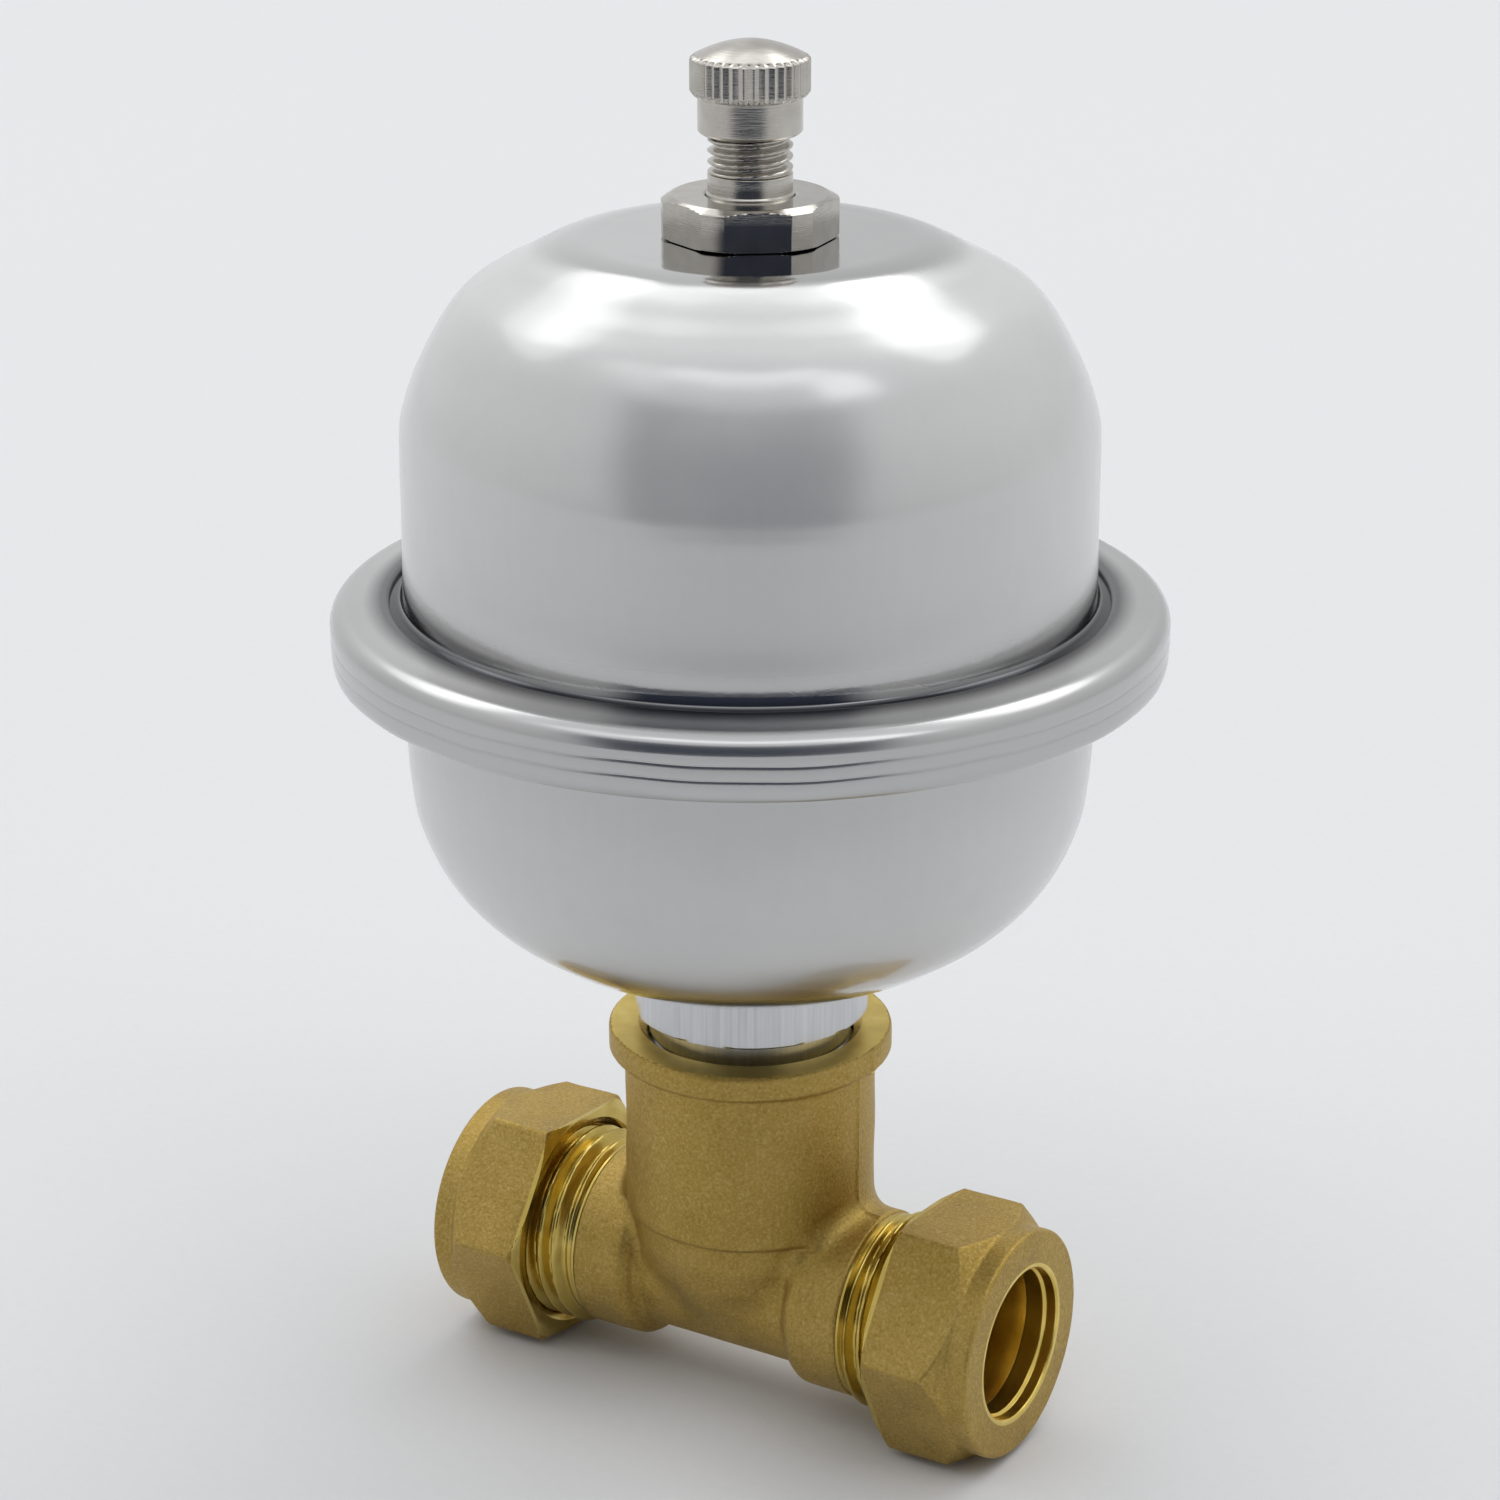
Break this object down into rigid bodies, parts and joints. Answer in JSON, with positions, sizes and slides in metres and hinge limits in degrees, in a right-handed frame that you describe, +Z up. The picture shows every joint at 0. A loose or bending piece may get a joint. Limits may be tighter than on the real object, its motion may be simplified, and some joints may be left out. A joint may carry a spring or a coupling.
{
  "type": "mini expansion vessel with compression tee",
  "caption": "Small stainless steel expansion vessel with a crimped waist ring and capped charging valve, screwed upright into a brass tee with compression nuts for a pipe run.",
  "frame": {"origin": "on the vessel's vertical axis, level with the lowest corner of the compression nuts", "axes": "+Z up the vessel's axis from the tee to the charging valve, +X along the pipe run towards the right nut"},
  "size_m": [0.083, 0.083, 0.1422],
  "materials": {
    "forged_brass": "matte, shot-blasted forging skin",
    "machined_brass": "bright turned brass",
    "stainless_sheet": "satin polished stainless sheet",
    "bright_alloy": "drawn and turned bright alloy",
    "nickel_plate": "nickel plated, fine turned",
    "core_brass": "turned brass",
    "spring_steel": "drawn wire",
    "black_rubber": "matte moulded rubber",
    "white_ptfe": "matte PTFE"
  },
  "bodies": {
    "fitting": {"tee_body": "forged_brass", "connector": "bright_alloy", "thread_seal_tape": "white_ptfe", "lower_shell": "stainless_sheet", "upper_shell": "stainless_sheet", "crimp_ring": "stainless_sheet", "diaphragm_rim": "black_rubber", "diaphragm_wall": "black_rubber", "valve_stem": "nickel_plate", "valve_hex_nut": "nickel_plate", "valve_outer_gasket": "black_rubber", "valve_inner_seal": "black_rubber", "core_plug": "core_brass", "core_barrel": "core_brass", "core_barrel_seal": "white_ptfe", "core_spring": "spring_steel"},
    "right_olive": {"right_olive": "machined_brass"},
    "right_nut": {"right_compression_nut": "forged_brass"},
    "left_olive": {"left_olive": "machined_brass"},
    "left_nut": {"left_compression_nut": "forged_brass"},
    "diaphragm_crown": {"diaphragm_crown": "black_rubber"},
    "core_pin": {"core_pin": "core_brass", "core_poppet_seal": "black_rubber"},
    "cap_seal": {"cap_seal": "black_rubber"},
    "valve_cap": {"valve_cap": "nickel_plate"}
  },
  "joints": [
    {"name": "right_nut_advance", "type": "slide", "parent": "fitting", "child": "right_olive", "axis": [1, 0, 0], "range_m": [0, 0.00725]},
    {"name": "right_nut_turn", "type": "hinge", "parent": "right_olive", "child": "right_nut", "pos_m": [0.026, 0, 0.01254], "axis": [1, 0, 0], "range_deg": [0, 1440]},
    {"name": "left_nut_advance", "type": "slide", "parent": "fitting", "child": "left_olive", "axis": [-1, 0, 0], "range_m": [0, 0.00725]},
    {"name": "left_nut_turn", "type": "hinge", "parent": "left_olive", "child": "left_nut", "pos_m": [-0.026, 0, 0.01254], "axis": [-1, 0, 0], "range_deg": [0, 1440]},
    {"name": "cap_lift", "type": "slide", "parent": "fitting", "child": "cap_seal", "axis": [0, 0, 1], "range_m": [0, 0.00714]},
    {"name": "cap_turn", "type": "hinge", "parent": "cap_seal", "child": "valve_cap", "pos_m": [0, 0, 0.13754], "axis": [0, 0, 1], "range_deg": [0, 3240]},
    {"name": "core_pin_press", "type": "slide", "parent": "fitting", "child": "core_pin", "axis": [0, 0, -1], "range_m": [0, 0.0012], "stiffness_N_per_m": 1500, "springref_m": -0.0001, "deforming": ["core_spring"]},
    {"name": "diaphragm_travel", "type": "slide", "parent": "fitting", "child": "diaphragm_crown", "axis": [0, 0, 1], "range_m": [0, 0.027], "stiffness_N_per_m": 200, "springref_m": -0.001, "deforming": ["diaphragm_wall"]}
  ],
  "couplings": [
    {"joint": "right_nut_turn", "follows": "right_nut_advance", "rad_per_m": 3463.7},
    {"joint": "left_nut_turn", "follows": "left_nut_advance", "rad_per_m": 3463.7},
    {"joint": "cap_turn", "follows": "cap_lift", "rad_per_m": 7913.3}
  ]
}
